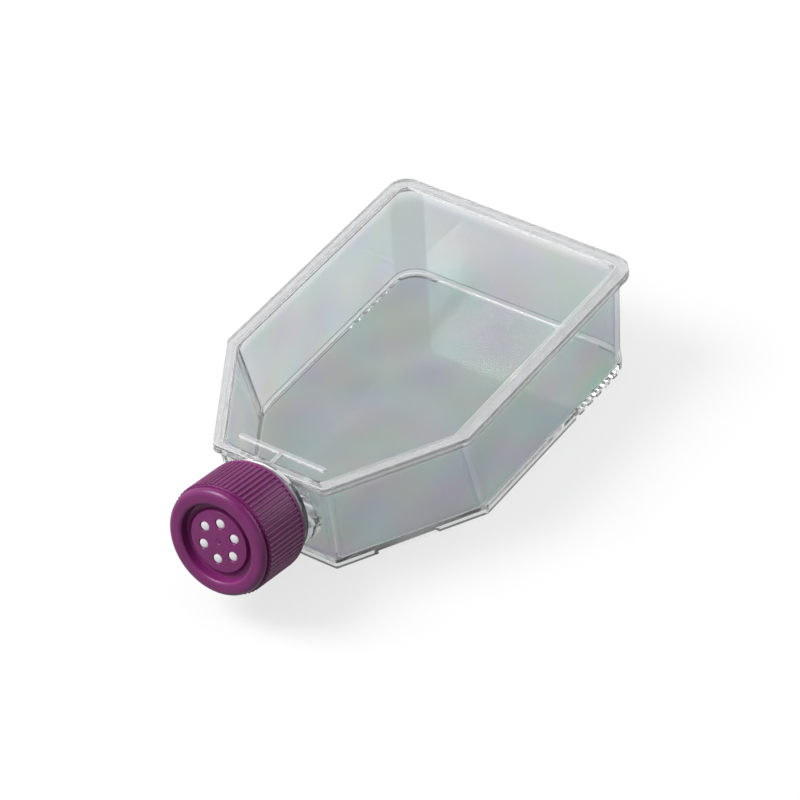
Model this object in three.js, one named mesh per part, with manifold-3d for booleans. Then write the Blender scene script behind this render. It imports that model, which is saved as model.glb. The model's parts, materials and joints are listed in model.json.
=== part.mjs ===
// Vented tissue culture flask of the 75 cm2 size: a clear tray with a canted neck, a welded top plate,
// and a ribbed screw cap with a filter membrane behind its six vent holes.
// Millimetres. Z is up, the neck points towards -Y, and X runs across the flask.
import * as THREE from 'three';
import { mergeVertices } from 'three/addons/utils/BufferGeometryUtils.js';
import Module from 'manifold-3d';

// ---- driving dimensions ----

// outline of the rim, which is the widest part of the flask
const bodyWidth = 84;
const sideLength = 90.2; // straight side, from the back to the shoulder corner
const shoulderRun = 38.9; // how far the shoulders reach towards the neck
const neckEndWidth = 38.3;
const bodyHeight = 36.7; // feet to rim
const rimCornerRadius = 6; // the two corners at the back
const shoulderCornerRadius = 3.5;
const neckEndCornerRadius = 2.6;

// tray walls and floor
const wall = 1.6;
const floorThickness = 1.2;
const floorFillet = 0.7; // inside, where the walls meet the floor
const insideCornerRadius = { back: 7, shoulder: 22, neckEnd: 7 }; // upright corners, inside the walls
const flangeThickness = 1.6;
const flangeOverhang = 1.35; // rim beyond the outer face of the walls

// how far the foot of each wall stands inside the rim's outline
const sideSetBack = 1.4;
const backSetBack = 1.8;
const shoulderSetBack = 5.9;
const neckEndSetBack = 6.8;

// skirt round the foot of the walls, and what it stands on
const skirtProud = 0.45; // beyond the walls
const skirtHeight = 2.3;
const footHeight = 1.2;
const footWidth = 1.7;
const neckFootReach = 17.8; // foot round the neck end, back from the rim
const sideFootStart = 34.5; // foot round each shoulder corner, back from the neck end of the rim
const sideFootEnd = 33.6; // where it stops, forward from the back of the rim
const backFootReach = 7.6; // foot at each back corner, forward from the rim
const backFootAcross = 13; // and how far it runs along the back, from the side of the rim
const toothLength = 2.4; // small feet in the row between those two
const toothPitch = 4.8;

// top plate
const plateThickness = 1.3;
const plateStep = 0.6; // the panel lies this much lower than the rim band
const plateBand = { side: 4.3, back: 4.3, shoulder: 3.2, neckEnd: 1.7 }; // width of the raised rim band
const plateFit = 0.35; // locating step to the inside of the walls
const ribLength = 29.4; // T-shaped rib near the neck end, whose stem runs out to the band
const ribWidth = 1.4;
const ribInset = 7.2; // centre of the bar to the neck end of the rim

// neck
const neckCant = THREE.MathUtils.degToRad(12);
const neckRadius = 13.2;
const neckWall = 2;
const neckAxisHeight = 22.5; // where the axis crosses the neck end of the rim, seen from the side
const neckLength = 22.5; // from that crossing to the mouth
const neckLip = 0.6; // rounding of the mouth
const collarProud = 2.4; // beyond the neck
const collarThickness = 1.4;
const collarGap = 2.2; // to the open end of the cap
const rootProud = 1.4; // flare where the neck meets the wall, beyond the neck
const rootLength = 2.2; // how far the flare reaches past the rim
const rootStep = 0.3; // what is left of the flare at its outer end
const rootClearance = 0.3; // neck to the front edge of the top plate

// cap
const capRadius = 17.15; // over the ribs
const capRibs = 68;
const capRibDepth = 0.45;
const capHeight = 19.6;
const capTaper = 0.12; // the ribs' circle is this much smaller at the front
const threadRoom = 1.5; // neck to the bore of the cap, which holds both threads
const capSeal = 0.3; // mouth of the neck to the land in the cap
const capBandHeight = 1.4; // plain band at the open end
const capGroove = 0.8; // groove between the ribs and the front ring, width
const grooveRadius = 16.1;
const ringHeight = 2.1;
const ringRadius = 16.5;
const ringRound = { across: 1.9, along: 1.7 }; // rounding of its outer front edge
const recessRadius = 12;
const recessDepth = 1.6; // front ring to the disc
const recessRound = { across: 1, along: 0.9 };
const discRadius = 9.6;
const discThickness = 0.8;
const moatDepth = 1.4; // groove between the disc and the ring, below the disc's face
const moatDraft = 0.2;
const ventHoles = 6;
const ventRadius = 1.6;
const ventCircle = 5.8;
const ventPhase = THREE.MathUtils.degToRad(-29);
const pocketDepth = 1.6; // pocket behind the disc, for the membrane
const pocketWall = 0.7; // pocket to the edge of the disc, or to the bore of the neck
const openEndRound = 0.6;
const boreLead = { across: 0.5, along: 0.8 }; // where the bore opens
const ribShape = 0.15; // share of half a pitch by which a rib is wider at its foot

// membrane
const membraneThickness = 0.5;
const membraneGap = 0.3; // round it and in front of it

// facets
const cornerSteps = 6;
const edgeSteps = 4;
const roundSteps = 72;
const ventSteps = 16;

const past = 1; // how far a cutting solid reaches past what it cuts

// ---- solids ----

const wasm = await Module();
wasm.setup();

function toSolid(geometry) {
  const bare = geometry.clone();
  bare.deleteAttribute('normal');
  bare.deleteAttribute('uv');
  const merged = mergeVertices(bare, 1e-5);
  return new wasm.Manifold(new wasm.Mesh({
    numProp: 3,
    vertProperties: new Float32Array(merged.attributes.position.array),
    triVerts: new Uint32Array(merged.index.array),
  }));
}

function toGeometry(solid) {
  const mesh = solid.getMesh();
  const geometry = new THREE.BufferGeometry();
  geometry.setAttribute('position', new THREE.BufferAttribute(new Float32Array(mesh.vertProperties), 3));
  geometry.setIndex(new THREE.BufferAttribute(new Uint32Array(mesh.triVerts), 1));
  geometry.computeVertexNormals();
  return geometry;
}

// a closed solid through outlines with the same number of points, each at its own height
function loft(sections) {
  const count = sections[0].outline.length;
  const positions = sections.flatMap(({ outline, z }) => outline.flatMap((p) => [p.x, p.y, z]));
  const index = [];
  for (let s = 0; s + 1 < sections.length; s += 1) {
    for (let i = 0; i < count; i += 1) {
      const j = (i + 1) % count;
      const [a, b] = [s * count + i, s * count + j];
      index.push(a, b, b + count, a, b + count, a + count);
    }
  }
  const top = (sections.length - 1) * count;
  for (const [a, b, c] of THREE.ShapeUtils.triangulateShape(sections[0].outline, [])) index.push(a, c, b);
  for (const [a, b, c] of THREE.ShapeUtils.triangulateShape(sections.at(-1).outline, [])) {
    index.push(top + a, top + b, top + c);
  }
  const geometry = new THREE.BufferGeometry();
  geometry.setAttribute('position', new THREE.Float32BufferAttribute(positions, 3));
  geometry.setIndex(index);
  return toSolid(geometry);
}

// a turned solid: profile points are [radius, height] and the axis is Y
function turned(profile, steps = roundSteps) {
  const points = profile.map(([radius, height]) => new THREE.Vector2(radius, height));
  return toSolid(new THREE.LatheGeometry(points, steps));
}

function box(width, depth, height, x, y, z, angle = 0) {
  const geometry = new THREE.BoxGeometry(width, depth, height);
  geometry.rotateZ(angle);
  geometry.translate(x, y, z);
  return toSolid(geometry);
}

function joined(solids) {
  return solids.reduce((all, solid) => all.add(solid));
}

// ---- outlines ----

// corner where two edges of the rim's outline meet, once each has moved in by its own inset
function meet(a, b, c, insetBefore, insetAfter) {
  const before = b.clone().sub(a).normalize();
  const after = c.clone().sub(b).normalize();
  const turn = before.cross(after);
  return b.clone()
    .addScaledVector(before, -insetAfter / turn)
    .addScaledVector(after, insetBefore / turn);
}

// the flask's outline, each edge moved in by its own inset, with round corners, anticlockwise from above;
// the corners follow those of the rim unless radii are given
function bodyOutline({ side, back, shoulder, neckEnd }, radii = null) {
  const halfWidth = bodyWidth / 2;
  const halfEnd = neckEndWidth / 2;
  const endY = -sideLength - shoulderRun;
  const rim = [
    { x: halfWidth, y: 0, inset: back, radius: rimCornerRadius, own: radii?.back },
    { x: -halfWidth, y: 0, inset: side, radius: rimCornerRadius, own: radii?.back },
    { x: -halfWidth, y: -sideLength, inset: shoulder, radius: shoulderCornerRadius, own: radii?.shoulder },
    { x: -halfEnd, y: endY, inset: neckEnd, radius: neckEndCornerRadius, own: radii?.neckEnd },
    { x: halfEnd, y: endY, inset: shoulder, radius: neckEndCornerRadius, own: radii?.neckEnd },
    { x: halfWidth, y: -sideLength, inset: side, radius: shoulderCornerRadius, own: radii?.shoulder },
  ]; // each inset is that of the edge which leaves the corner
  const corners = rim.map((corner, i) => {
    const before = rim.at(i - 1);
    const after = rim[(i + 1) % rim.length];
    const [a, b, c] = [before, corner, after].map((p) => new THREE.Vector2(p.x, p.y));
    return meet(a, b, c, before.inset, corner.inset);
  });
  return corners.flatMap((corner, i) => {
    const before = corners.at(i - 1);
    const after = corners[(i + 1) % corners.length];
    const inset = (rim.at(i - 1).inset + rim[i].inset) / 2;
    const radius = rim[i].own ?? Math.max(rim[i].radius - inset, rim[i].radius / 3);
    return roundCorner(before, corner, after, radius);
  });
}

function roundCorner(before, corner, after, radius) {
  const back = before.clone().sub(corner).normalize();
  const forward = after.clone().sub(corner).normalize();
  const half = Math.acos(THREE.MathUtils.clamp(back.dot(forward), -1, 1)) / 2;
  const toCentre = back.clone().add(forward).normalize();
  const centre = corner.clone().addScaledVector(toCentre, radius / Math.sin(half));
  const start = corner.clone().addScaledVector(back, radius / Math.tan(half)).sub(centre);
  const sweep = Math.PI - 2 * half;
  return Array.from({ length: cornerSteps + 1 }, (_, i) => (
    start.clone().rotateAround(new THREE.Vector2(), (sweep * i) / cornerSteps).add(centre)
  ));
}

const evenInset = (inset) => ({ side: inset, back: inset, shoulder: inset, neckEnd: inset });

// insets of the walls' outer face at a height: set back at the foot, and under the flange at the top
const flangeTop = bodyHeight - plateThickness;
const floorTop = footHeight + floorThickness;
const footInset = {
  side: sideSetBack, back: backSetBack, shoulder: shoulderSetBack, neckEnd: neckEndSetBack,
};

function wallInset(z, extra = 0) {
  const share = (z - footHeight) / (flangeTop - footHeight);
  return Object.fromEntries(Object.entries(footInset).map(([edge, inset]) => (
    [edge, THREE.MathUtils.lerp(inset, flangeOverhang, share) + extra]
  )));
}

// outline of the walls' outer face, or of what stands proud of it; its back corners follow the inside's
function outsideOutline(z, proud = 0) {
  return bodyOutline(wallInset(z, -proud), { back: insideCornerRadius.back + wall + proud });
}

const wallSection = (z) => ({ outline: outsideOutline(z), z });

// outline of the inside at a height, or of what lies within it by a margin
function insideOutline(z, margin = 0) {
  const radii = Object.fromEntries(Object.entries(insideCornerRadius).map(([corner, radius]) => (
    [corner, radius - margin]
  )));
  return bodyOutline(wallInset(z, wall + margin), radii);
}

// ---- the canted frame of the neck and cap: Y runs out along the axis, from the open end of the cap ----

const rimEndY = -sideLength - shoulderRun;
const landHeight = capHeight - recessDepth - discThickness - pocketDepth; // seat on the mouth of the neck
const pocketRadius = Math.min(discRadius, neckRadius - neckWall) - pocketWall;
const mouthHeight = landHeight - capSeal;
const neckCrossing = new THREE.Vector3(0, rimEndY, neckAxisHeight);
const outward = new THREE.Vector3(0, -Math.cos(neckCant), Math.sin(neckCant));
const capOpenEnd = neckCrossing.clone().addScaledVector(outward, neckLength - mouthHeight);
const neckFrame = new THREE.Matrix4()
  .makeRotationX(Math.PI - neckCant)
  .setPosition(capOpenEnd);

const inNeckFrame = (solid) => solid.transform(neckFrame.elements);

// ---- tray: floor, walls, flange, skirt, feet and neck, moulded in one ----

function skirtAndFeet() {
  const outer = outsideOutline(footHeight, skirtProud);
  const inner = outsideOutline(footHeight, skirtProud - footWidth);
  const skirt = loft([{ outline: outer, z: footHeight }, { outline: outer, z: footHeight + skirtHeight }]);
  const band = loft([{ outline: outer, z: 0 }, { outline: outer, z: footHeight }])
    .subtract(loft([{ outline: inner, z: -past }, { outline: inner, z: footHeight + past }]));
  return skirt.add(band.intersect(joined(footBlocks())));
}

// blocks that pick the feet out of a band under the skirt: round the neck end, and on each side
// one round the shoulder corner, one at the back corner and a row of teeth between those two
function footBlocks() {
  const depth = 3 * footHeight;
  const block = (width, x, from, to) => box(width, from - to, depth, x, (from + to) / 2, 0);
  const backFootEnd = -backFootReach;
  const room = sideFootEnd - backFootReach;
  const teeth = Math.floor(room / toothPitch);
  const gap = (room - teeth * toothLength) / (teeth + 1);
  const blocks = [block(bodyWidth, 0, rimEndY + neckFootReach, rimEndY)];
  for (const hand of [-1, 1]) {
    const edge = (hand * bodyWidth) / 2;
    blocks.push(block(neckEndWidth, edge, -sideFootEnd, rimEndY + sideFootStart));
    blocks.push(block(2 * backFootAcross, edge, 0, backFootEnd));
    for (let i = 0; i < teeth; i += 1) {
      const start = backFootEnd - gap * (i + 1) - toothLength * i;
      blocks.push(block(4 * footWidth, edge, start, start - toothLength));
    }
  }
  return blocks;
}

// tube and collar, and a flare at the root that is flat on top, level with the top plate
function neckOutside() {
  const collarRadius = neckRadius + collarProud;
  const rootRadius = neckRadius + rootProud;
  const crossing = mouthHeight - neckLength; // height at which the axis crosses the rim's end
  const inside = crossing - 2 * neckEndSetBack;
  const collarTop = -collarGap;
  const collarBack = collarTop - collarThickness;
  const soft = collarThickness / 5;
  const tube = turned([
    [0, inside],
    [neckRadius, inside],
    [neckRadius, collarBack],
    [collarRadius - soft, collarBack],
    [collarRadius, collarBack + soft],
    [collarRadius, collarTop - soft],
    [collarRadius - soft, collarTop],
    [neckRadius, collarTop],
    [neckRadius, mouthHeight - neckLip],
    [neckRadius - neckLip, mouthHeight],
    [0, mouthHeight],
  ]);
  const root = turned([
    [0, inside],
    [rootRadius, inside],
    [rootRadius, crossing],
    [neckRadius + rootStep, crossing + rootLength],
    [0, crossing + rootLength],
  ]);
  const room = 2 * bodyWidth;
  const lowHalf = box(room, 4 * sideLength, bodyHeight, 0, 0, bodyHeight / 2);
  return inNeckFrame(tube).add(inNeckFrame(root).intersect(lowHalf));
}

function neckBore() {
  const radius = neckRadius - neckWall;
  const inside = mouthHeight - neckLength - 3 * neckEndSetBack;
  return inNeckFrame(turned([
    [0, inside],
    [radius, inside],
    [radius, mouthHeight - neckLip],
    [radius + neckLip, mouthHeight],
    [radius + neckLip, mouthHeight + past],
    [0, mouthHeight + past],
  ]));
}

// everything inside the walls' inner faces, from the floor up past the flange
function cavity() {
  const sections = [0, 1, 2].map((step) => {
    const angle = (step * Math.PI) / 4;
    const z = floorTop + floorFillet * (1 - Math.cos(angle));
    return { outline: insideOutline(z, floorFillet * (1 - Math.sin(angle))), z };
  });
  return loft([...sections, { outline: insideOutline(flangeTop + past), z: flangeTop + past }]);
}

function tray() {
  const walls = loft([wallSection(footHeight), wallSection(flangeTop)]);
  const rim = bodyOutline(evenInset(0));
  const flange = loft([{ outline: rim, z: flangeTop - flangeThickness }, { outline: rim, z: flangeTop }]);
  const round = bodyOutline(evenInset(-rootClearance));
  const plateRoom = loft([{ outline: round, z: flangeTop }, { outline: round, z: 2 * bodyHeight }]);
  const neck = neckOutside().subtract(plateRoom);
  return joined([skirtAndFeet(), walls, flange, neck]).subtract(cavity()).subtract(neckBore());
}

// ---- top plate: a rim band on the flange, a panel that drops between the walls, and a T-shaped rib ----

function topPlate() {
  const rim = bodyOutline(evenInset(0));
  const band = loft([{ outline: rim, z: flangeTop }, { outline: rim, z: bodyHeight }]);
  const panelTop = bodyHeight - plateStep;
  const inside = insideOutline(flangeTop, plateFit);
  const panel = loft([{ outline: inside, z: panelTop - plateThickness }, { outline: inside, z: bodyHeight }]);
  const sunk = bodyOutline(plateBand);
  const well = loft([{ outline: sunk, z: panelTop }, { outline: sunk, z: bodyHeight + past }]);
  const ribY = rimEndY + ribInset;
  const stemLength = ribInset - plateBand.neckEnd / 2;
  const bar = box(ribLength, ribWidth, 2 * plateStep, 0, ribY, panelTop);
  const stem = box(ribWidth, stemLength, 2 * plateStep, 0, ribY - stemLength / 2, panelTop);
  return band.add(panel).subtract(well).add(bar).add(stem);
}

// ---- cap ----

function ribbedBarrel(bottom, top) {
  const points = [];
  for (let i = 0; i < capRibs * 4; i += 1) {
    const proud = i % 4 < 2;
    const angle = ((i + (proud ? ribShape : -ribShape)) * Math.PI) / (capRibs * 2);
    const radius = proud ? capRadius : capRadius - capRibDepth;
    points.push(new THREE.Vector2(radius * Math.cos(angle), radius * Math.sin(angle)));
  }
  const front = points.map((p) => p.clone().multiplyScalar(1 - capTaper / capRadius));
  const barrel = loft([{ outline: points, z: bottom }, { outline: front, z: top }]);
  return barrel.transform(new THREE.Matrix4().makeRotationX(-Math.PI / 2).elements);
}

// quarter of an ellipse on a profile, from side to front; hand is 1 on an outer edge, -1 on an inner one
function softEdge(radius, height, { across, along }, hand) {
  return Array.from({ length: edgeSteps + 1 }, (_, i) => {
    const angle = (i * Math.PI) / 2 / edgeSteps;
    return [radius - hand * across * (1 - Math.cos(angle)), height - along * (1 - Math.sin(angle))];
  });
}

function cap() {
  const ringBottom = capHeight - ringHeight;
  const ribTop = ringBottom - capGroove;
  const bandRadius = capRadius - capTaper;
  const discFront = capHeight - recessDepth;
  const moatFloor = discFront - moatDepth;
  const body = turned([
    [0, 0],
    [bandRadius - openEndRound, 0],
    [bandRadius, openEndRound],
    [bandRadius, capBandHeight],
    [grooveRadius, capBandHeight],
    [grooveRadius, ringBottom],
    ...softEdge(ringRadius, capHeight, ringRound, 1),
    ...softEdge(recessRadius, capHeight, recessRound, -1).reverse(),
    [recessRadius - moatDraft, moatFloor],
    [discRadius + moatDraft, moatFloor],
    [discRadius, discFront],
    [0, discFront],
  ]);
  const boreRadius = neckRadius + threadRoom;
  const pocketTop = landHeight + pocketDepth;
  const hollow = turned([
    [0, -past],
    [boreRadius + boreLead.across, -past],
    [boreRadius + boreLead.across, 0],
    [boreRadius, boreLead.along],
    [boreRadius, landHeight],
    [pocketRadius, landHeight],
    [pocketRadius, pocketTop],
    [0, pocketTop],
  ]);
  const vents = Array.from({ length: ventHoles }, (_, i) => {
    const angle = ventPhase + (i * 2 * Math.PI) / ventHoles;
    const vent = new THREE.CylinderGeometry(ventRadius, ventRadius, 4 * discThickness, ventSteps);
    vent.translate(ventCircle * Math.cos(angle), pocketTop + discThickness / 2, ventCircle * Math.sin(angle));
    return toSolid(vent);
  });
  return body.add(ribbedBarrel(capBandHeight, ribTop)).subtract(hollow).subtract(joined(vents));
}

function membrane() {
  const top = landHeight + pocketDepth - membraneGap;
  return turned([
    [0, top - membraneThickness],
    [pocketRadius - membraneGap, top - membraneThickness],
    [pocketRadius - membraneGap, top],
    [0, top],
  ]);
}

// ---- scene graph ----

function piece(name, solid, material) {
  const mesh = new THREE.Mesh(toGeometry(solid), new THREE.MeshStandardMaterial(material));
  mesh.name = name;
  return mesh;
}

const clearPlastic = { color: 0xc9cfd0, roughness: 0.08, metalness: 0, transparent: true, opacity: 0.4 };
const purplePlastic = { color: 0x6b2a5f, roughness: 0.42, metalness: 0 };
const filterFabric = { color: 0xf4f4f6, roughness: 0.9, metalness: 0 };

const flask = new THREE.Group();
flask.add(piece('flask_tray', tray(), clearPlastic));
flask.add(piece('top_plate', topPlate(), clearPlastic));

const capGroup = new THREE.Group();
capGroup.applyMatrix4(neckFrame);
capGroup.add(piece('screw_cap', cap(), purplePlastic));
capGroup.add(piece('vent_membrane', membrane(), filterFabric));
flask.add(capGroup);

// the origin lies under the middle of the whole flask, at the level of its feet
flask.updateMatrixWorld(true);
const middle = new THREE.Box3().setFromObject(flask, true).getCenter(new THREE.Vector3());
flask.position.y = -middle.y;

export default flask;
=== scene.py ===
import json
import math

import bmesh
import bpy
from mathutils import Matrix, Vector


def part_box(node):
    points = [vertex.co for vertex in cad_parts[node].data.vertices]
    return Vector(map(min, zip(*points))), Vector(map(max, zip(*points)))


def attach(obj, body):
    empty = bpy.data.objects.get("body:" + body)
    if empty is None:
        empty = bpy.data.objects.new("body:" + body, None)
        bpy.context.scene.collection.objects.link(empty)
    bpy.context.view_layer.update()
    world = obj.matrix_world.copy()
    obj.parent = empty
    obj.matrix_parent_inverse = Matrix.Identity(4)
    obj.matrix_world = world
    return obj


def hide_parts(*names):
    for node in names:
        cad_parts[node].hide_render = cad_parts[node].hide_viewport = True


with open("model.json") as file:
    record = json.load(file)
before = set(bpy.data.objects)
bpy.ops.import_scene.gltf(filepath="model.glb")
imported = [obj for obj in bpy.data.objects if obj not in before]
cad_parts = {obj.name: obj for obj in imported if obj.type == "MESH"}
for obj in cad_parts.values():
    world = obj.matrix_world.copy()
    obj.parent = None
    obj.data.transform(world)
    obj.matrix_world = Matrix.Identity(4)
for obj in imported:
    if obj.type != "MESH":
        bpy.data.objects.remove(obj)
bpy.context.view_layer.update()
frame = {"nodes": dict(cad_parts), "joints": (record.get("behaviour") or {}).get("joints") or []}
nodes = frame["nodes"]
mm = 0.001
tiny = 1e-6  # a radius below this lies on the axis

joints = {joint["name"]: joint for joint in frame["joints"]}
capAxis = Vector(joints["cap_turn"]["axis"]).normalized()
capFoot = Vector(joints["cap_turn"]["pos_m"])  # middle of the cap's open end
acrossAxis = Vector((1, 0, 0))
# the cap's own frame: Z runs out along the neck, the origin is at the cap's open end
capFrame = (
    Matrix.Translation(capFoot)
    @ Matrix((acrossAxis, capAxis.cross(acrossAxis), capAxis)).transposed().to_4x4()
)
rimLow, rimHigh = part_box("top_plate")
print("frame loaded")


# small helpers for meshes


def meshObject(name, mesh):
    piece = bpy.data.objects.new(name, mesh)
    bpy.context.scene.collection.objects.link(piece)
    return piece


def bmeshObject(name, bm):
    mesh = bpy.data.meshes.new(name)
    bm.to_mesh(mesh)
    bm.free()
    return meshObject(name, mesh)


def smoothByAngle(piece, degrees):
    for polygon in piece.data.polygons:
        polygon.use_smooth = True
    piece.data.set_sharp_from_angle(angle=math.radians(degrees))


def applyModifiers(piece):
    depsgraph = bpy.context.evaluated_depsgraph_get()
    mesh = bpy.data.meshes.new_from_object(piece.evaluated_get(depsgraph))
    piece.modifiers.clear()
    piece.data = mesh
    mesh.name = piece.name


def setMaterial(piece, material):
    piece.data.materials.clear()
    piece.data.materials.append(material)
    for polygon in piece.data.polygons:
        polygon.material_index = 0


def booleanWith(piece, other, operation):
    modifier = piece.modifiers.new("join", "BOOLEAN")
    modifier.operation = operation
    modifier.object = other
    modifier.solver = "EXACT"
    applyModifiers(piece)
    bpy.data.objects.remove(other)


# a closed solid turned about Z from (radius, height) points in millimetres
def turnedPiece(name, profile, steps):
    bm = bmesh.new()
    rings = []
    for radius, height in profile:
        if radius < tiny:
            rings.append([bm.verts.new((0, 0, height * mm))])
            continue
        rings.append(
            [
                bm.verts.new(
                    (
                        radius * mm * math.cos(2 * math.pi * i / steps),
                        radius * mm * math.sin(2 * math.pi * i / steps),
                        height * mm,
                    )
                )
                for i in range(steps)
            ]
        )
    closed = profile[0][0] > tiny
    pairs = list(zip(rings, rings[1:])) + ([(rings[-1], rings[0])] if closed else [])
    for lower, upper in pairs:
        for i in range(steps):
            j = (i + 1) % steps
            if len(lower) == 1:
                bm.faces.new((lower[0], upper[j], upper[i]))
            elif len(upper) == 1:
                bm.faces.new((lower[i], lower[j], upper[0]))
            else:
                bm.faces.new((lower[i], lower[j], upper[j], upper[i]))
    bmesh.ops.recalc_face_normals(bm, faces=bm.faces)
    return bmeshObject(name, bm)


# materials


def newMaterial(name):
    material = bpy.data.materials.new(name)
    material.use_nodes = True
    tree = material.node_tree
    shader = tree.nodes["Principled BSDF"]
    return material, tree, shader


def coordinates(tree):
    return tree.nodes.new("ShaderNodeTexCoord").outputs["Object"]


def noise(tree, vector, scale, detail, rough=0.5):
    node = tree.nodes.new("ShaderNodeTexNoise")
    node.inputs["Scale"].default_value = scale
    node.inputs["Detail"].default_value = detail
    node.inputs["Roughness"].default_value = rough
    tree.links.new(vector, node.inputs["Vector"])
    return node


def ramp(tree, factor, stops):
    node = tree.nodes.new("ShaderNodeValToRGB")
    while len(node.color_ramp.elements) < len(stops):
        node.color_ramp.elements.new(0.5)
    for element, (place, colour) in zip(node.color_ramp.elements, stops):
        element.position = place
        element.color = (*colour, 1)
    tree.links.new(factor, node.inputs["Fac"])
    return node.outputs["Color"]


def mapRange(tree, value, low, high, outLow=0.0, outHigh=1.0):
    node = tree.nodes.new("ShaderNodeMapRange")
    node.inputs["From Min"].default_value = low
    node.inputs["From Max"].default_value = high
    node.inputs["To Min"].default_value = outLow
    node.inputs["To Max"].default_value = outHigh
    tree.links.new(value, node.inputs["Value"])
    return node.outputs["Result"]


def mixColours(tree, kind, factor, first, second):
    node = tree.nodes.new("ShaderNodeMix")
    node.data_type = "RGBA"
    node.blend_type = kind
    for socket, value in ((node.inputs[0], factor), (node.inputs[6], first), (node.inputs[7], second)):
        if hasattr(value, "is_output"):
            tree.links.new(value, socket)
        elif isinstance(value, (int, float)):
            socket.default_value = value
        else:
            socket.default_value = (*value, 1)
    return node.outputs[2]


def separate(tree, vector):
    node = tree.nodes.new("ShaderNodeSeparateXYZ")
    tree.links.new(vector, node.inputs["Vector"])
    return node.outputs


def attribute(tree, name):
    node = tree.nodes.new("ShaderNodeAttribute")
    node.attribute_name = name
    return node.outputs["Fac"]


def bumpFrom(tree, shader, height, distance, strength):
    bump = tree.nodes.new("ShaderNodeBump")
    bump.inputs["Distance"].default_value = distance
    bump.inputs["Strength"].default_value = strength
    tree.links.new(height, bump.inputs["Height"])
    tree.links.new(bump.outputs["Normal"], shader.inputs["Normal"])


clearPlastic = {
    "index": 1.59,
    "roughness": 0.02,
    "floor": (0.585, 0.635, 0.642),  # painted shade: the plastic's tint is darkest at the floor
    "low": (0.63, 0.672, 0.68),  # painted shade on the walls near the floor
    "high": (0.645, 0.687, 0.695),  # and lighter near the rim
    "top": (0.97, 0.98, 0.985),  # the panel gets almost none of the painted shade
    "rim": (0.985, 0.985, 0.99),  # tint of the rim and the foot, which the painted shade leaves out
    "corner": (0.88, 0.88, 0.88),  # painted shade: a darker band on the round back corners
    "heights": (2.55 * mm, 2.65 * mm, 30 * mm, 34.5 * mm),  # heights of the painted shade: floor, low, high, top
    "patchScale": 62,
    "patchDetail": 0.5,
    "patchStrength": 0.4,
    "paintedHighlight": {"colour": (0.98, 0.98, 0.99), "clear": 0.2, "roughness": 0.35},  # painted highlight: white, less clear and rougher where edges look white
}


def makeClearPlastic(name, values):
    material, tree, shader = newMaterial(name)
    place = coordinates(tree)
    height = separate(tree, place)["Z"]
    floorAt, lowAt, highAt, topAt = values["heights"]
    # painted shade: the tint darkens from the panel down to the floor
    level = mapRange(tree, height, 0, topAt)
    stops = [(floorAt, "floor"), (lowAt, "low"), (highAt, "high"), (topAt, "top")]
    tint = ramp(tree, level, [(at / topAt, values[colour]) for at, colour in stops])
    patches = noise(tree, place, values["patchScale"], values["patchDetail"])
    tint = mixColours(tree, "SOFT_LIGHT", values["patchStrength"], tint, patches.outputs["Color"])
    # painted shade: a darker band on the round back corners
    tint = mixColours(tree, "MULTIPLY", attribute(tree, "corner"), tint, values["corner"])
    # the rim and the foot are left out of the painted shade
    tint = mixColours(tree, "MIX", attribute(tree, "rim"), tint, values["rim"])
    # painted highlight: marked faces turn milky white, less clear and rougher, so edges look bright
    mark = attribute(tree, "paintedHighlight")
    paintedHighlight = values["paintedHighlight"]
    tint = mixColours(tree, "MIX", mark, tint, paintedHighlight["colour"])
    tree.links.new(tint, shader.inputs["Base Color"])
    clear = mapRange(tree, mark, 0, 1, 1, paintedHighlight["clear"])
    tree.links.new(clear, shader.inputs["Transmission Weight"])
    rough = mapRange(tree, mark, 0, 1, values["roughness"], paintedHighlight["roughness"])
    tree.links.new(rough, shader.inputs["Roughness"])
    shader.inputs["IOR"].default_value = values["index"]
    return material


capPlastic = {
    "index": 1.5,
    "gloss": 0.42,
    "deep": (0.187, 0.016, 0.13),
    "light": (0.234, 0.024, 0.166),
    "roughness": (0.28, 0.36),
    "cloudScale": 120,
    "cloudDetail": 3,
    "cloudRange": (0.3, 0.7),  # of the noise, from deep to light
    "grainScale": 900,
    "grainDetail": 2,
    "grainHeight": 0.02 * mm,
    "grainStrength": 0.6,
}


def makeCapPlastic(name, values):
    material, tree, shader = newMaterial(name)
    place = coordinates(tree)
    cloud = noise(tree, place, values["cloudScale"], values["cloudDetail"]).outputs["Fac"]
    low, high = values["cloudRange"]
    tint = ramp(tree, cloud, [(low, values["deep"]), (high, values["light"])])
    tree.links.new(tint, shader.inputs["Base Color"])
    rough = mapRange(tree, cloud, low, high, *values["roughness"])
    tree.links.new(rough, shader.inputs["Roughness"])
    grain = noise(tree, place, values["grainScale"], values["grainDetail"]).outputs["Fac"]
    bumpFrom(tree, shader, grain, values["grainHeight"], values["grainStrength"])
    shader.inputs["IOR"].default_value = values["index"]
    shader.inputs["Specular IOR Level"].default_value = values["gloss"]
    return material


membraneCloth = {
    "colour": (0.97, 0.97, 0.99),
    "between": 0.93,  # painted shade between the fibres: share of the colour left there
    "weaveScale": 2600,
    "weaveDetail": (4, 0.7),
    "weaveRange": (0.2, 0.7),
    "weaveHeight": 0.03 * mm,
    "weaveStrength": 0.5,
    "roughness": 0.8,
}


def makeMembraneCloth(name, values):
    material, tree, shader = newMaterial(name)
    place = coordinates(tree)
    fibres = noise(tree, place, values["weaveScale"], *values["weaveDetail"]).outputs["Fac"]
    low, high = values["weaveRange"]
    # painted shade: the colour is darker between the fibres
    between = tuple(values["between"] * part for part in values["colour"])
    tint = ramp(tree, fibres, [(low, between), (high, values["colour"])])
    tree.links.new(tint, shader.inputs["Base Color"])
    shader.inputs["Roughness"].default_value = values["roughness"]
    bumpFrom(tree, shader, fibres, values["weaveHeight"], values["weaveStrength"])
    return material


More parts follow.
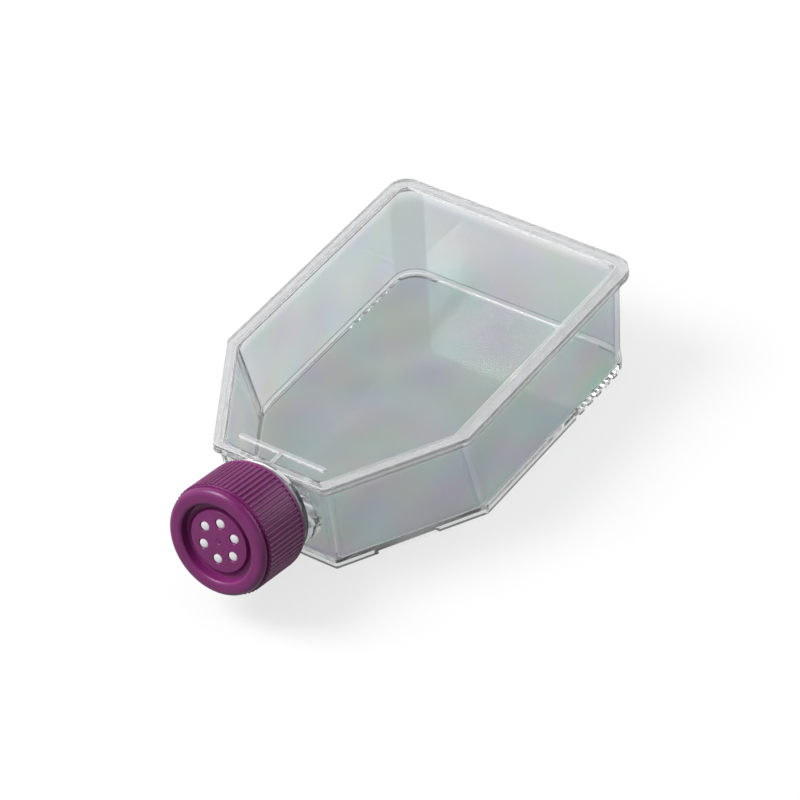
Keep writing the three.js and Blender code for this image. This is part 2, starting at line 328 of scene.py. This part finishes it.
flaskMaterial = makeClearPlastic("clearPolystyrene", clearPlastic)
capMaterial = makeCapPlastic("purpleCapPlastic", capPlastic)
membraneMaterial = makeMembraneCloth("filterCloth", membraneCloth)
print("materials made")


# node trees for what repeats: ribs round a barrel, and threads along a helix


def newTree(name, inputs):
    tree = bpy.data.node_groups.new(name, "GeometryNodeTree")
    tree.interface.new_socket("Geometry", in_out="OUTPUT", socket_type="NodeSocketGeometry")
    for label, kind in inputs:
        tree.interface.new_socket(label, in_out="INPUT", socket_type=kind)
    return tree, tree.nodes.new("NodeGroupInput").outputs, tree.nodes.new("NodeGroupOutput").inputs


def treeNode(tree, kind, links=(), **values):
    node = tree.nodes.new(kind)
    for name, value in values.items():
        setattr(node, name, value)
    for socket, source in links:
        if hasattr(source, "is_output"):
            tree.links.new(source, node.inputs[socket])
        else:
            node.inputs[socket].default_value = source
    return node


def mathNode(tree, operation, *values):
    return treeNode(tree, "ShaderNodeMath", enumerate(values), operation=operation).outputs[0]


mergeDistance = 0.001 * mm  # points of a grown mesh that are nearer than this are one


def finishTree(tree, geometry, material, output):
    real = treeNode(tree, "GeometryNodeRealizeInstances", [("Geometry", geometry)])
    merged = treeNode(
        tree, "GeometryNodeMergeByDistance", [("Geometry", real.outputs[0]), ("Distance", mergeDistance)]
    )
    painted = treeNode(
        tree, "GeometryNodeSetMaterial", [("Geometry", merged.outputs[0]), ("Material", material)]
    )
    tree.links.new(painted.outputs[0], output["Geometry"])


def ribTree():
    length = "NodeSocketFloat"
    tree, given, output = newTree(
        "capRibs",
        [
            ("Count", "NodeSocketInt"),
            ("Radius", length),
            ("Thickness", length),
            ("Sides", "NodeSocketInt"),
            ("Foot", length),
            ("Top", length),
            ("Material", "NodeSocketMaterial"),
        ],
    )
    circle = treeNode(
        tree, "GeometryNodeMeshCircle", [("Vertices", given["Count"]), ("Radius", given["Radius"])]
    )
    foot = treeNode(tree, "ShaderNodeCombineXYZ", [("Z", given["Foot"])])
    top = treeNode(tree, "ShaderNodeCombineXYZ", [("Z", given["Top"])])
    line = treeNode(
        tree, "GeometryNodeCurvePrimitiveLine", [("Start", foot.outputs[0]), ("End", top.outputs[0])]
    )
    ring = treeNode(
        tree,
        "GeometryNodeCurvePrimitiveCircle",
        [("Resolution", given["Sides"]), ("Radius", given["Thickness"])],
    )
    rod = treeNode(
        tree,
        "GeometryNodeCurveToMesh",
        [("Curve", line.outputs[0]), ("Profile Curve", ring.outputs[0]), ("Fill Caps", True)],
    )
    ribs = treeNode(
        tree, "GeometryNodeInstanceOnPoints", [("Points", circle.outputs[0]), ("Instance", rod.outputs[0])]
    )
    finishTree(tree, ribs.outputs[0], given["Material"], output)
    return tree


def threadTree():
    length = "NodeSocketFloat"
    tree, given, output = newTree(
        "screwThread",
        [
            ("Starts", "NodeSocketInt"),
            ("Turns", length),
            ("Steps", "NodeSocketInt"),
            ("Radius", length),
            ("Length", length),
            ("Foot", length),
            ("Phase", length),
            ("Root", length),
            ("Crest", length),
            ("Depth", length),
            ("Side", length),
            ("Fade", length),
            ("Tip", length),
            ("Material", "NodeSocketMaterial"),
        ],
    )
    helix = treeNode(
        tree,
        "GeometryNodeCurveSpiral",
        [
            ("Resolution", given["Steps"]),
            ("Rotations", given["Turns"]),
            ("Start Radius", given["Radius"]),
            ("End Radius", given["Radius"]),
            ("Height", given["Length"]),
        ],
    )
    upright = treeNode(tree, "GeometryNodeSetCurveNormal", [("Curve", helix.outputs[0])], mode="Z_UP")
    # section with its root on the helix; its crest points inward where Side is 1, outward where it is -1
    section = treeNode(
        tree,
        "GeometryNodeCurvePrimitiveQuadrilateral",
        [
            ("Bottom Width", given["Root"]),
            ("Top Width", given["Crest"]),
            ("Height", given["Depth"]),
            ("Offset", 0.0),
        ],
        mode="TRAPEZOID",
    )
    halfDepth = mathNode(tree, "MULTIPLY", given["Depth"], 0.5)
    lift = treeNode(tree, "ShaderNodeCombineXYZ", [("Y", halfDepth)])
    rooted = treeNode(
        tree, "GeometryNodeTransform", [("Geometry", section.outputs[0]), ("Translation", lift.outputs[0])]
    )
    quarter = mathNode(tree, "MULTIPLY", given["Side"], -math.pi / 2)
    tilt = treeNode(tree, "ShaderNodeCombineXYZ", [("Z", quarter)])
    turned = treeNode(
        tree, "GeometryNodeTransform", [("Geometry", rooted.outputs[0]), ("Rotation", tilt.outputs[0])]
    )
    # the section shrinks towards both ends
    factor = treeNode(tree, "GeometryNodeSplineParameter").outputs["Factor"]
    fromEnd = mathNode(tree, "MINIMUM", factor, mathNode(tree, "SUBTRACT", 1.0, factor))
    fade = mathNode(tree, "MINIMUM", mathNode(tree, "DIVIDE", fromEnd, given["Fade"]), 1.0)
    bar = treeNode(
        tree,
        "GeometryNodeCurveToMesh",
        [
            ("Curve", upright.outputs[0]),
            ("Profile Curve", turned.outputs[0]),
            ("Scale", mathNode(tree, "MAXIMUM", fade, given["Tip"])),
            ("Fill Caps", True),
        ],
    )
    foot = treeNode(tree, "ShaderNodeCombineXYZ", [("Z", given["Foot"])])
    raised = treeNode(
        tree, "GeometryNodeTransform", [("Geometry", bar.outputs[0]), ("Translation", foot.outputs[0])]
    )
    points = treeNode(tree, "GeometryNodePoints", [("Count", given["Starts"])])
    index = treeNode(tree, "GeometryNodeInputIndex").outputs[0]
    share = mathNode(tree, "DIVIDE", index, given["Starts"])
    turn = mathNode(tree, "MULTIPLY_ADD", share, 2 * math.pi, given["Phase"])
    spin = treeNode(tree, "ShaderNodeCombineXYZ", [("Z", turn)])
    starts = treeNode(
        tree,
        "GeometryNodeInstanceOnPoints",
        [("Points", points.outputs[0]), ("Instance", raised.outputs[0]), ("Rotation", spin.outputs[0])],
    )
    finishTree(tree, starts.outputs[0], given["Material"], output)
    return tree


grownAngle = 40  # sharper edges than this stay sharp on ribs and threads


# the mesh that a tree grows, moved to its place
def grown(name, tree, values, place):
    piece = meshObject(name, bpy.data.meshes.new(name))
    modifier = piece.modifiers.new(name, "NODES")
    modifier.node_group = tree
    for item in tree.interface.items_tree:
        if item.in_out == "INPUT" and item.name in values:
            modifier[item.identifier] = values[item.name]
    applyModifiers(piece)
    piece.data.transform(place)
    bm = bmesh.new()
    bm.from_mesh(piece.data)
    bmesh.ops.recalc_face_normals(bm, faces=bm.faces)
    bm.to_mesh(piece.data)
    bm.free()
    smoothByAngle(piece, grownAngle)
    return piece


# flask: the moulded shapes, with their edges rounded as a mould leaves them

flask = {
    "merge": 0.002 * mm,
    "flatAngle": 0.6,  # triangles that differ less than this become one face
    "edge": 0.22 * mm,
    "edgeSteps": 2,
    "edgeAngle": 28,
    "smoothAngle": 35,
    "flatWeight": 90,
    "weldDepth": 1.3 * mm,  # from the rim's top down to the weld
    "weldReach": 0.3 * mm,
    "weldGap": 0.03 * mm,  # the weld line shows round the rim
    "paintedHighlight": {"foot": 0.1, "rib": 1, "bandEdge": 1, "rim": 0.3, "neck": 0.05},  # painted highlight on each zone; 0 is clear
    # from here on in millimetres; the rim's outline, seen from above
    "outline": {
        "half": 42,  # half of the width
        "side": 90.2,  # length of the straight side
        "run": 38.9,  # length of the shoulders along the flask
        "end": 19.15,  # half of the neck end's width
    },
    "panelRib": {
        "inset": 7.2,  # from the plate's neck end to the middle of the T's bar
        "length": 29.4,
        "width": 1.6,
        "stemStart": 1.8,
        "depth": 0.55,  # all of it lies this near the rim's top
        "spare": 0.1,
    },
    # a lean is the upright part of a face's normal: 0 on an upright face and 1 on a level one
    "zones": {
        "rimBottom": 33.6,  # no corner of the rim's faces is below this
        "bandWidth": 4.4,
        "levelLean": 0.9,  # a face that leans more than this counts as level
        "bandTop": 0.2,  # a level face this near the rim's top is the raised band's
        "flange": 1.2,  # and one deeper than this is the tray's flange
        "panelUnder": 0.1,  # the panel's underside is this near the plate's lowest face
        "bandEdge": 0.62,  # the band's edges are this near the rim's top
        "bandEdgeLean": 0.95,  # and lean less than this
        "skirt": 1.15,  # all faces below this are the foot's
        "footTop": 3.6,  # and so are outward ones below this
        "footLean": 0.8,  # that lean less than this
        "fillet": (2.3, 4),  # the fillet round the floor lies between these heights
        "filletLean": (0.25, 0.97),  # and leans between these
        "cornerStart": 60,  # the round back corners are behind this
        "cornerTurn": 0.12,  # their normals have more than this along X and along Y
        "cornerLean": 0.5,  # and lean less than this
        "neckStart": 0.5,  # from the rim's neck end
    },
}
outline, panelRib, zones = flask["outline"], flask["panelRib"], flask["zones"]


def roundedCopy(name, node):
    bm = bmesh.new()
    bm.from_mesh(nodes[node].data)
    bmesh.ops.remove_doubles(bm, verts=bm.verts, dist=flask["merge"])
    bmesh.ops.dissolve_limit(
        bm,
        angle_limit=math.radians(flask["flatAngle"]),
        verts=bm.verts,
        edges=bm.edges,
        delimit={"NORMAL"},
    )
    piece = bmeshObject(name, bm)
    bevel = piece.modifiers.new("edges", "BEVEL")
    bevel.width = flask["edge"]
    bevel.segments = flask["edgeSteps"]
    bevel.limit_method = "ANGLE"
    bevel.angle_limit = math.radians(flask["edgeAngle"])
    bevel.use_clamp_overlap = True
    bevel.miter_outer = "MITER_ARC"
    applyModifiers(piece)
    return piece


# flat faces stay flat in the shading, and only the narrow ones beside them look round
def flattenFaces(piece):
    smoothByAngle(piece, flask["smoothAngle"])
    flatten = piece.modifiers.new("flatFaces", "WEIGHTED_NORMAL")
    flatten.weight = flask["flatWeight"]
    flatten.keep_sharp = True
    applyModifiers(piece)


# how far a place lies inside the rim's outline
def insetOf(place, o):
    x, y = abs(place.x) / mm, (rimHigh.y - place.y) / mm
    slope = math.hypot(o["run"], o["half"] - o["end"])
    shoulder = (o["run"] * (o["half"] - x) - (o["half"] - o["end"]) * (y - o["side"])) / slope
    return min(o["half"] - x, y, o["side"] + o["run"] - y, shoulder)


# a face attribute that the plastic's material reads
def markFaces(piece, name, chosen):
    mark = piece.data.attributes.new(name, "FLOAT", "FACE")
    for polygon in piece.data.polygons:
        mark.data[polygon.index].value = float(chosen(piece, polygon))


# right-handed threads; the cap's lies half a pitch from the neck's, which is a quarter of the lead
# known fault: with these sides both lie hidden inside the walls, and neither the neck nor the bore
# shows a thread; the opposite signs should bring them out, but that hasn't been tried
threads = {
    "starts": 2,
    "lead": 8,
    "steps": 120,
    "root": 2.0,
    "crest": 0.9,
    "fade": 0.07,  # share of its length over which an end runs out
    "tip": 0.02,  # share of its section that is left at the end
    "neck": {"foot": 1.6, "top": 13.4, "radius": 12.9, "depth": 1.15, "side": 1.0, "shift": 0},
    "cap": {"foot": 1.8, "top": 13.2, "radius": 15.0, "depth": 1.35, "side": -1.0, "shift": 0.25},
}
screwThread = threadTree()


def threadValues(t, own, material):
    length = own["top"] - own["foot"]
    return {
        "Starts": t["starts"],
        "Turns": length / t["lead"],
        "Steps": t["steps"],
        "Radius": own["radius"] * mm,
        "Length": length * mm,
        "Foot": own["foot"] * mm,
        "Phase": 2 * math.pi * (own["foot"] - own["shift"] * t["lead"]) / t["lead"],
        "Root": t["root"] * mm,
        "Crest": t["crest"] * mm,
        "Depth": own["depth"] * mm,
        "Side": own["side"],
        "Fade": t["fade"],
        "Tip": t["tip"],
        "Material": material,
    }


flaskTray = roundedCopy("flaskTray", "flask_tray")
onNeck = threadValues(threads, threads["neck"], flaskMaterial)
booleanWith(flaskTray, grown("neckThread", screwThread, onNeck, capFrame), "UNION")
topPlate = roundedCopy("topPlate", "top_plate")
for piece in (flaskTray, topPlate):
    flattenFaces(piece)
for vertex in topPlate.data.vertices:
    if abs(vertex.co.z - (rimHigh.z - flask["weldDepth"])) < flask["weldReach"]:
        vertex.co.z += flask["weldGap"]


# faces of the rim: all but the two flat sides of the panel
def inRim(piece, polygon):
    corners = [piece.data.vertices[i].co for i in polygon.vertices]
    height = polygon.center.z
    if min(corner.z for corner in corners) < zones["rimBottom"] * mm:
        return False
    if polygon.normal.z > zones["levelLean"]:
        return height > rimHigh.z - zones["bandTop"] * mm or height < rimHigh.z - zones["flange"] * mm
    under = polygon.normal.z < -zones["levelLean"] and height < rimLow.z + zones["panelUnder"] * mm
    if under and piece is topPlate:
        return False
    return all(insetOf(corner, outline) < zones["bandWidth"] for corner in corners)


# the T-shaped rib on the panel
def inRib(place):
    fromEnd, aside = (place.y - rimLow.y) / mm, abs(place.x) / mm
    half = panelRib["width"] / 2
    bar = abs(fromEnd - panelRib["inset"]) < half and aside < panelRib["length"] / 2 + panelRib["spare"]
    stem = panelRib["stemStart"] < fromEnd < panelRib["inset"] and aside < half
    return (bar or stem) and place.z > rimHigh.z - panelRib["depth"] * mm


middleY = (rimLow.y + rimHigh.y) / 2


# faces of the skirt and the feet, and of the fillet round the floor
def inFoot(polygon):
    place, normal = polygon.center, polygon.normal
    outward = normal.x * place.x + normal.y * (place.y - middleY) > 0
    if place.z < zones["skirt"] * mm:
        return True
    if outward:
        return place.z < zones["footTop"] * mm and abs(normal.z) < zones["footLean"]
    low, high = zones["fillet"]
    steep, level = zones["filletLean"]
    return low * mm < place.z < high * mm and steep < normal.z < level


# how much painted highlight, as milky white, a face of the tray or the plate gets
def paintedHighlightAt(piece, polygon):
    place, normal = polygon.center, polygon.normal
    if inFoot(polygon):
        return flask["paintedHighlight"]["foot"]
    if inRib(place):
        return flask["paintedHighlight"]["rib"]
    if inRim(piece, polygon):
        nearTop = place.z > rimHigh.z - zones["bandEdge"] * mm
        atEdge = nearTop and normal.z < zones["bandEdgeLean"]
        return flask["paintedHighlight"]["bandEdge" if atEdge else "rim"]
    if place.y < rimLow.y - zones["neckStart"] * mm:
        return flask["paintedHighlight"]["neck"]
    return 0


# faces that the painted shade leaves out
def clearAt(piece, polygon):
    return inFoot(polygon) or inRim(piece, polygon)


# round faces of the back corners, which get a painted shade as a darker band
def shadedCornerAt(piece, polygon):
    normal = polygon.normal
    turned = min(abs(normal.x), abs(normal.y)) > zones["cornerTurn"] and abs(normal.z) < zones["cornerLean"]
    return turned and polygon.center.y > zones["cornerStart"] * mm


for piece in (flaskTray, topPlate):
    markFaces(piece, "paintedHighlight", paintedHighlightAt)
    markFaces(piece, "rim", clearAt)
    markFaces(piece, "corner", shadedCornerAt)
for piece, node in ((flaskTray, "flask_tray"), (topPlate, "top_plate")):
    setMaterial(piece, flaskMaterial)
    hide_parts(node)
    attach(piece, "flask")
print("flask made")


# cap: a turned shell, with ribs round it

# in millimetres, with heights from the open end
cap = {
    "height": 19.6,
    "crest": 17.15,  # radius over the ribs
    "root": 16.7,  # radius between them
    "rootDraft": 0.02,  # the barrel is this much narrower at its front
    "bandInset": 0.1,  # of the plain band round the open end
    "bandHeight": 1.4,
    "footRound": 0.6,
    "ribTop": 16.7,
    "groove": 16.1,  # radius of the narrow groove behind the ring
    "ringBottom": 17.5,
    "ring": 16.5,  # radius over the front ring
    "ringInset": 0.2,
    "ringRound": (1.9, 1.7),
    "recess": 12,  # radius inside the ring
    "recessRound": (1.0, 0.9),
    "recessDepth": 1.6,
    "recessFoot": ((0.15, 0.35), (0.25, 0.1), (0.5, 0)),  # steps in, and up from the moat's bottom
    "discRadius": 9.6,
    "discFoot": ((0.5, 0), (0.25, 0.2)),  # steps out, and up from the moat's bottom
    "disc": 0.8,  # its thickness
    "gate": ((0.95, 0), (0.8, -0.15), (0.45, -0.15), (0.35, 0.08), (0, 0.12)),  # mark of the mould
    "moatDepth": 1.4,  # of the groove round the disc
    "pocket": 8.9,  # radius of the membrane's place
    "pocketDepth": 1.6,
    "landEdge": 0.12,
    "bore": 14.7,
    "mouth": ((0, 0.8), (0.5, 0.1), (0.75, 0)),  # steps out, and up from the open end
    "smallRound": 0.25,
    "steps": 144,
    "smoothAngle": 40,
    "ribs": 68,
    "ribRadius": 0.42,
    "ribInset": 0.44,  # from the crest to a rib's middle
    "ribSides": 10,
    "ribEnds": (0.2, 0.1),  # overlap with the band, and gap at the front
    "vents": 6,
    "ventCircle": 5.8,
    "vent": 1.6,
    "ventPhase": 29,  # degrees from the cap's X
    "ventSteps": 32,
    "ventChamfer": 0.1,
    "ventSpare": 1,  # how far the cutter stands out
}


# quarter of an ellipse on a profile, from its side to its front; hand is 1 outside and -1 inside
def softEdge(radius, height, size, hand, steps=8):
    turns = [math.pi / 2 * i / steps for i in range(steps + 1)]
    return [
        (radius - hand * size[0] * (1 - math.cos(turn)), height - size[1] * (1 - math.sin(turn)))
        for turn in turns
    ]


def capProfile(c):
    top = c["height"]
    disc = top - c["recessDepth"]
    moat = disc - c["moatDepth"]
    pocketTop = disc - c["disc"]
    land = pocketTop - c["pocketDepth"]
    band = c["crest"] - c["bandInset"]
    small, foot = (c["smallRound"], c["smallRound"]), c["footRound"]
    return [
        (0, pocketTop),
        *softEdge(c["pocket"], pocketTop, small, 1, 3)[::-1],
        (c["pocket"], land + c["landEdge"]),
        (c["pocket"] + c["landEdge"], land),
        *softEdge(c["bore"], land, small, 1, 3)[::-1],
        *[(c["bore"] + out, up) for out, up in c["mouth"]],
        *[(radius, foot - height) for radius, height in softEdge(band, foot, (foot, foot), 1, 4)[::-1]],
        *softEdge(band, c["bandHeight"], small, 1, 3),
        (c["root"], c["bandHeight"]),
        *softEdge(c["root"] - c["rootDraft"], c["ribTop"], small, 1, 3),
        (c["groove"], c["ribTop"]),
        (c["groove"], c["ringBottom"]),
        (c["ring"] - c["ringInset"], c["ringBottom"]),
        *softEdge(c["ring"], top, c["ringRound"], 1),
        *softEdge(c["recess"], top, c["recessRound"], -1)[::-1],
        *[(c["recess"] - inward, moat + up) for inward, up in c["recessFoot"]],
        *[(c["discRadius"] + out, moat + up) for out, up in c["discFoot"]],
        *softEdge(c["discRadius"], disc, small, 1, 4),
        *[(radius, disc + up) for radius, up in c["gate"]],
    ]


capShell = turnedPiece("capShell", capProfile(cap), cap["steps"])
print("cap turned", len(capShell.data.polygons))


# middles of the vents, as X and Y in the cap's own frame
def ventPlaces(c):
    angles = [math.radians(c["ventPhase"] + 360 / c["vents"] * i) for i in range(c["vents"])]
    return [(c["ventCircle"] * math.cos(angle), c["ventCircle"] * math.sin(angle)) for angle in angles]


# rods through the disc, each wider at the front for a small chamfer
def ventCutter(c):
    disc = c["height"] - c["recessDepth"]
    chamfer, count = c["ventChamfer"], c["ventSteps"]
    turns = [2 * math.pi * k / count for k in range(count)]
    sections = (
        (c["vent"], disc - 2 * c["disc"]),
        (c["vent"], disc - chamfer),
        (c["vent"] + chamfer, disc),
        (c["vent"] + chamfer, disc + c["ventSpare"]),
    )
    bm = bmesh.new()
    for x, y in ventPlaces(c):
        rings = []
        for radius, height in sections:
            ring = [(x + radius * math.cos(turn), y + radius * math.sin(turn), height) for turn in turns]
            rings.append([bm.verts.new(Vector(place) * mm) for place in ring])
        bm.faces.new(rings[0][::-1])
        bm.faces.new(rings[-1])
        for lower, upper in zip(rings, rings[1:]):
            for k in range(count):
                j = (k + 1) % count
                bm.faces.new((lower[k], lower[j], upper[j], upper[k]))
    return bmeshObject("ventCutter", bm)


booleanWith(capShell, ventCutter(cap), "DIFFERENCE")


def ribValues(c, material):
    overlap, gap = c["ribEnds"]
    return {
        "Count": c["ribs"],
        "Radius": (c["crest"] - c["ribInset"]) * mm,
        "Thickness": c["ribRadius"] * mm,
        "Sides": c["ribSides"],
        "Foot": (c["bandHeight"] - overlap) * mm,
        "Top": (c["ribTop"] - gap) * mm,
        "Material": material,
    }


capRibs = grown("capRibs", ribTree(), ribValues(cap, capMaterial), capFrame)
inCap = threadValues(threads, threads["cap"], capMaterial)
capThread = grown("capThread", screwThread, inCap, capFrame)
capShell.data.transform(capFrame)
smoothByAngle(capShell, cap["smoothAngle"])
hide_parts("screw_cap")
for piece in (capShell, capRibs, capThread):
    setMaterial(piece, capMaterial)
    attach(piece, "cap")
print("cap made")


# membrane: a thin disc that swells a little into each vent

# in millimetres, in the cap's own frame
membrane = {
    "radius": 8.6,
    "top": 17.15,  # just behind the disc, from the cap's open end
    "thickness": 0.35,
    "swell": 0.78,
    "swellGap": 0.02,  # between a swelling and the side of its vent
    "swellPower": 0.22,  # the smaller this is, the flatter the swellings are on top
    "rings": 72,
    "steps": 180,
    "smoothAngle": 50,
}
vents = ventPlaces(cap)


# height of the swellings at a place, as a share of the highest
def swellAt(x, y, m):
    best = 0
    for ventX, ventY in vents:
        away = math.hypot(x - ventX, y - ventY) / (cap["vent"] - m["swellGap"])
        best = max(best, max(0, 1 - away ** 2) ** m["swellPower"])
    return best


def makeMembrane(m):
    bm = bmesh.new()

    def sheet(height, swell):
        middle = bm.verts.new((0, 0, height * mm))
        rings = []
        for ring in range(1, m["rings"] + 1):
            radius = m["radius"] * ring / m["rings"]
            row = []
            for step in range(m["steps"]):
                turn = 2 * math.pi * step / m["steps"]
                x, y = radius * math.cos(turn), radius * math.sin(turn)
                lift = swell * swellAt(x, y, m) if swell else 0
                row.append(bm.verts.new((x * mm, y * mm, (height + lift) * mm)))
            rings.append(row)
        return middle, rings

    frontMiddle, front = sheet(m["top"], m["swell"])
    backMiddle, back = sheet(m["top"] - m["thickness"], 0)
    count = m["steps"]
    for middle, rings in ((frontMiddle, front), (backMiddle, back)):
        for k in range(count):
            j = (k + 1) % count
            bm.faces.new((middle, rings[0][k], rings[0][j]))
            for inner, outer in zip(rings, rings[1:]):
                bm.faces.new((inner[k], outer[k], outer[j], inner[j]))
    for k in range(count):
        j = (k + 1) % count
        bm.faces.new((front[-1][k], back[-1][k], back[-1][j], front[-1][j]))
    bmesh.ops.recalc_face_normals(bm, faces=bm.faces)
    return bmeshObject("filterMembrane", bm)


filterMembrane = makeMembrane(membrane)
filterMembrane.data.transform(capFrame)
smoothByAngle(filterMembrane, membrane["smoothAngle"])
setMaterial(filterMembrane, membraneMaterial)
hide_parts("vent_membrane")
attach(filterMembrane, "membrane")
print("membrane made")


# floor, light and camera

studio = {
    "aim": (0, 0, 18 * mm),  # what the lamps point at
    "floorSize": 6,
    "floorHeight": -0.05 * mm,  # a hair under the feet, as clear plastic only touches at points
    "floorColour": (0.97, 0.97, 0.97),
    "floorRoughness": 0.9,
    "bounceColour": (0.1, 0.1, 0.1),  # what the floor gives back to the object
    "glow": 0.72,  # share of the floor that is plain white, so its shadows stay pale
    "mirrored": 0.45,  # share of that white that the object mirrors
    "sky": 0.27,
    "skyLean": (-0.25, -0.08, 0.25),  # the sky is brighter on this side
    "overhead": 0.15,  # the backdrop high up, as seen in the plastic
    "fall": (0.3, 0.7),  # the backdrop falls off between these heights of its unit sphere
    "key": {"place": (-0.75, -0.55, 1.15), "size": 0.7, "power": 18},
    "back": {"place": (0.65, 1.05, 0.5), "size": 0.8, "power": 4},
}


# 1 for what the camera sees, straight or through the plastic, and 0 for light on its way to a surface;
# what it sees by reflection counts for the share given as mirrored
def seenDirectly(tree, mirrored):
    path = tree.nodes.new("ShaderNodeLightPath").outputs
    seen = mathNode(tree, "MAXIMUM", path["Is Camera Ray"], path["Is Transmission Ray"])
    reflected = mathNode(tree, "MULTIPLY", path["Is Glossy Ray"], mirrored)
    seen = mathNode(tree, "MAXIMUM", seen, reflected)
    direct = mathNode(tree, "LESS_THAN", path["Diffuse Depth"], 0.5)
    return mathNode(tree, "MULTIPLY", seen, direct)


def makeFloor(values):
    half = values["floorSize"] / 2
    bm = bmesh.new()
    square = ((-half, -half), (half, -half), (half, half), (-half, half))
    corners = [bm.verts.new((x, y, values["floorHeight"])) for x, y in square]
    bm.faces.new(corners)
    floor = bmeshObject("floor", bm)
    material, tree, shader = newMaterial("paleFloor")
    seen = seenDirectly(tree, values["mirrored"])
    tint = mixColours(tree, "MIX", seen, values["bounceColour"], values["floorColour"])
    tree.links.new(tint, shader.inputs["Base Color"])
    shader.inputs["Roughness"].default_value = values["floorRoughness"]
    shader.inputs["Specular IOR Level"].default_value = 0
    white = treeNode(tree, "ShaderNodeEmission")
    glow = mathNode(tree, "MULTIPLY", seen, values["glow"])
    mixed = treeNode(
        tree, "ShaderNodeMixShader", [(0, glow), (1, shader.outputs[0]), (2, white.outputs[0])]
    )
    tree.links.new(mixed.outputs[0], tree.nodes["Material Output"].inputs["Surface"])
    setMaterial(floor, material)


def makeWorld(values):
    world = bpy.data.worlds.new("studio")
    bpy.context.scene.world = world
    world.use_nodes = True
    tree = world.node_tree
    background = tree.nodes["Background"]
    background.inputs["Color"].default_value = (1, 1, 1, 1)
    direction = tree.nodes.new("ShaderNodeTexCoord").outputs["Generated"]
    lean = treeNode(
        tree, "ShaderNodeVectorMath", [(0, direction), (1, values["skyLean"])], operation="DOT_PRODUCT"
    )
    sky = mathNode(tree, "ADD", lean.outputs["Value"], values["sky"])
    backdrop = mapRange(tree, separate(tree, direction)["Z"], *values["fall"], 1.0, values["overhead"])
    strength = treeNode(
        tree,
        "ShaderNodeMix",
        [("Factor", seenDirectly(tree, 1)), ("A", sky), ("B", backdrop)],
        data_type="FLOAT",
    )
    tree.links.new(strength.outputs[0], background.inputs["Strength"])


def makeLamp(name, values, target):
    light = bpy.data.lights.new(name, "AREA")
    light.shape = "SQUARE"
    light.size = values["size"]
    light.energy = values["power"]
    lamp = bpy.data.objects.new(name, light)
    bpy.context.scene.collection.objects.link(lamp)
    lamp.location = Vector(values["place"])
    lamp.rotation_euler = (lamp.location - target).to_track_quat("Z", "Y").to_euler()


makeFloor(studio)
makeWorld(studio)
for name in ("key", "back"):
    makeLamp(name + "Lamp", studio[name], Vector(studio["aim"]))

view = {
    "azimuth": 36.56,
    "elevation": 41.09,
    "roll": -3.92,
    "target": (-0.00884, 0.02636, 0),
    "distance": 1.2348,
    "lens": 186.4,
    "sensor": 36,
    "farthest": 20,
}


def makeCamera(values):
    azimuth, elevation, roll = (math.radians(values[k]) for k in ("azimuth", "elevation", "roll"))
    away = Vector(
        (
            math.sin(azimuth) * math.cos(elevation),
            -math.cos(azimuth) * math.cos(elevation),
            math.sin(elevation),
        )
    )
    right = (-away).cross(Vector((0, 0, 1))).normalized()
    up = right.cross(-away)
    leaningRight = math.cos(roll) * right + math.sin(roll) * up
    leaningUp = -math.sin(roll) * right + math.cos(roll) * up
    data = bpy.data.cameras.new("camera")
    data.lens = values["lens"]
    data.sensor_width = values["sensor"]
    data.clip_end = values["farthest"]
    camera = bpy.data.objects.new("camera", data)
    bpy.context.scene.collection.objects.link(camera)
    place = Vector(values["target"]) + away * values["distance"]
    camera.matrix_world = (
        Matrix.Translation(place) @ Matrix((leaningRight, leaningUp, away)).transposed().to_4x4()
    )
    bpy.context.scene.camera = camera


makeCamera(view)
bpy.context.scene.view_settings.view_transform = "Standard"
# light runs far inside the thin floor before it leaves at the foot, which is black without these
bounces = {"max": 96, "transmission": 48, "glossy": 64}
for kind, count in bounces.items():
    setattr(bpy.context.scene.cycles, kind + "_bounces", count)
print("stage set")
